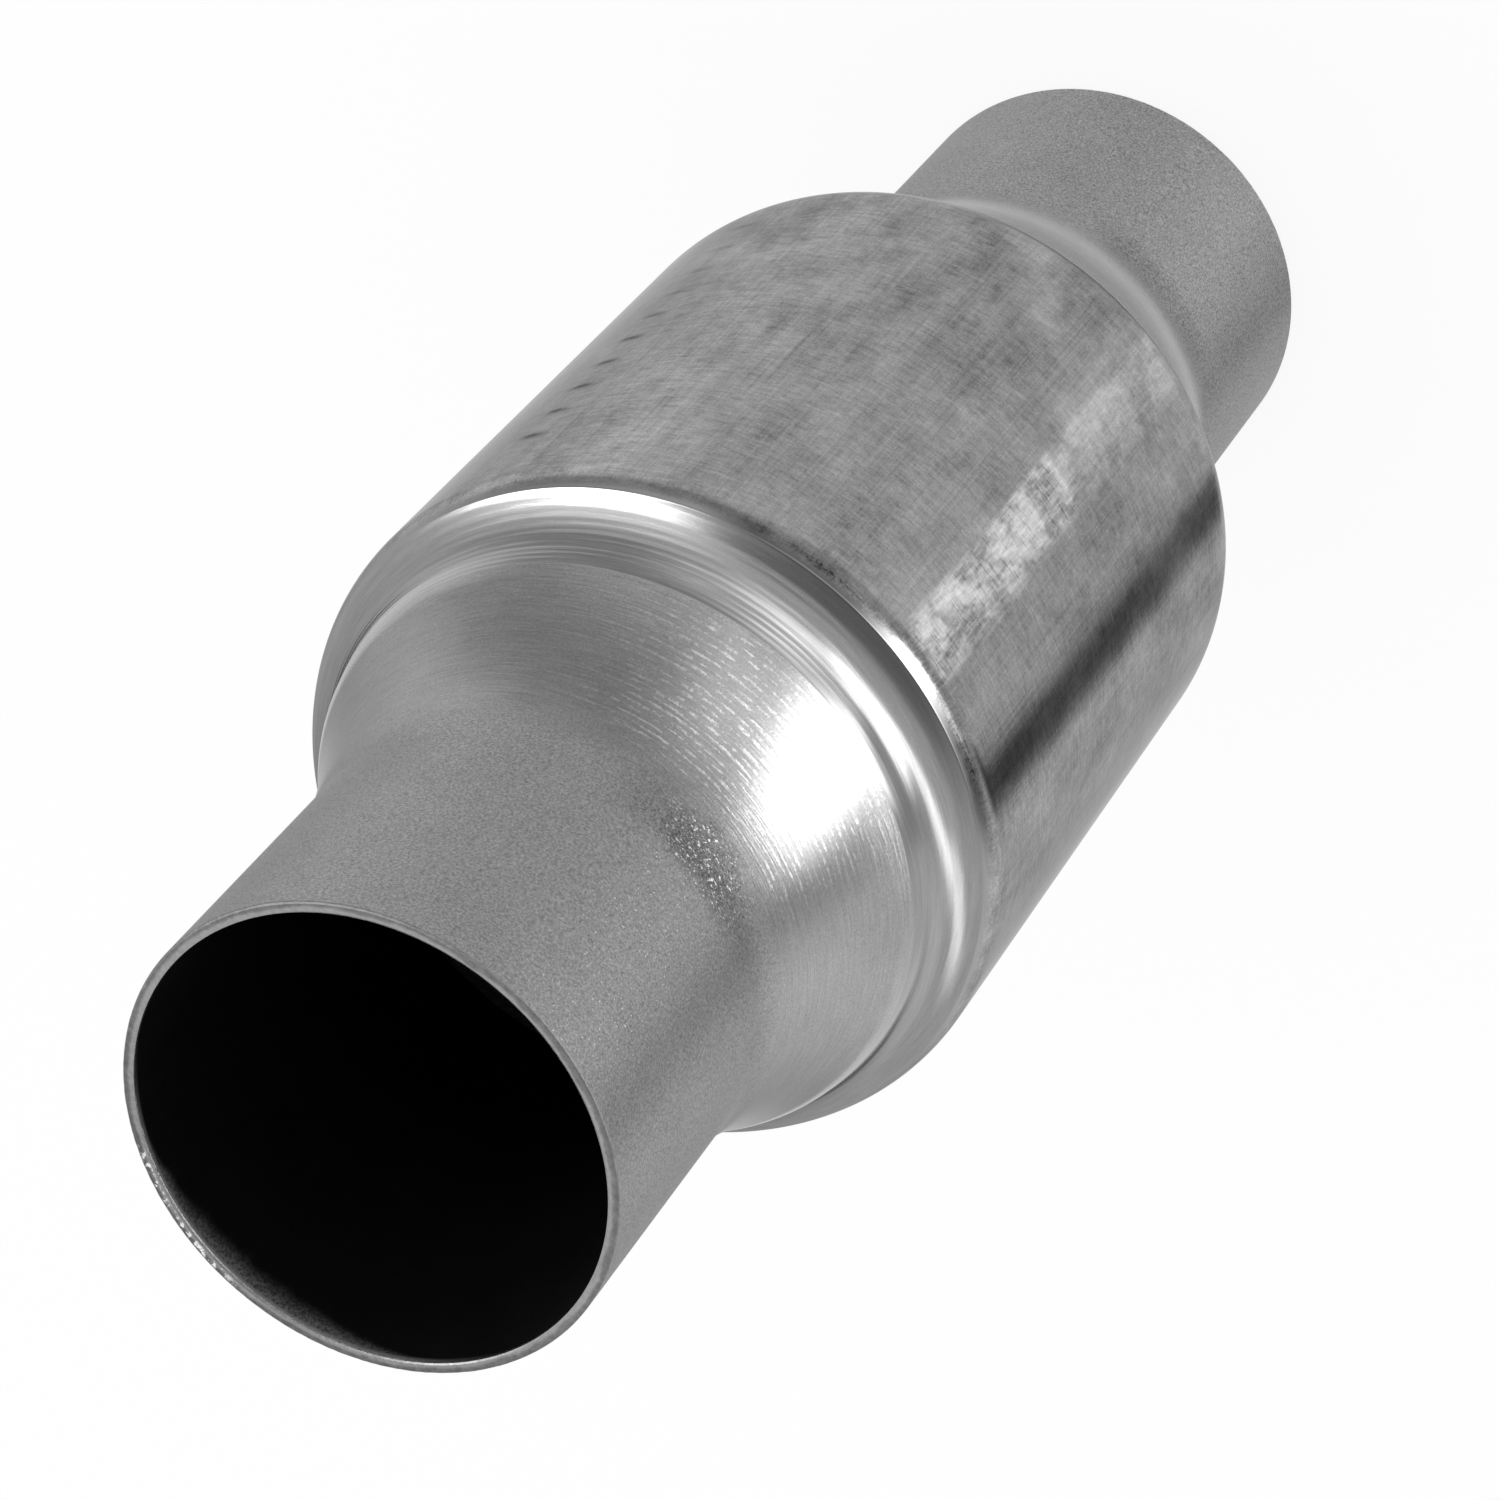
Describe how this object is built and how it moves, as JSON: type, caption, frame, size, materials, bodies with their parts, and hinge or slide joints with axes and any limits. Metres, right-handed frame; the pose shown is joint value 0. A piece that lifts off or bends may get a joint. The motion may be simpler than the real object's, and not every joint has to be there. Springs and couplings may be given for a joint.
{
  "type": "catalytic converter",
  "caption": "Round catalytic converter: a steel tube spun down to a plain pipe socket at both ends, with ceramic honeycomb bricks held inside by fibre mats and wire seals.",
  "frame": {"origin": "middle of the lower, outlet rim, which the part stands on", "axes": "+Z along the axis of the case, from the outlet up to the inlet; X and Y lie along the rows of honeycomb passages"},
  "size_m": [0.1016, 0.1016, 0.272],
  "materials": {
    "case_steel": "bare stainless steel, spun and lightly scuffed, with fine turned lines on the ends",
    "honeycomb_ceramic": "matte washcoated ceramic, sandy grey",
    "fibre_mat": "pale ceramic fibre sheet with mica flecks",
    "knitted_wire": "pressed knitted stainless wire"
  },
  "bodies": {
    "root": {"spun_shell": "case_steel", "front_brick": "honeycomb_ceramic", "rear_brick": "honeycomb_ceramic", "front_mat": "fibre_mat", "rear_mat": "fibre_mat", "front_seal_upper": "knitted_wire", "front_seal_lower": "knitted_wire", "rear_seal_upper": "knitted_wire", "rear_seal_lower": "knitted_wire"}
  },
  "joints": []
}
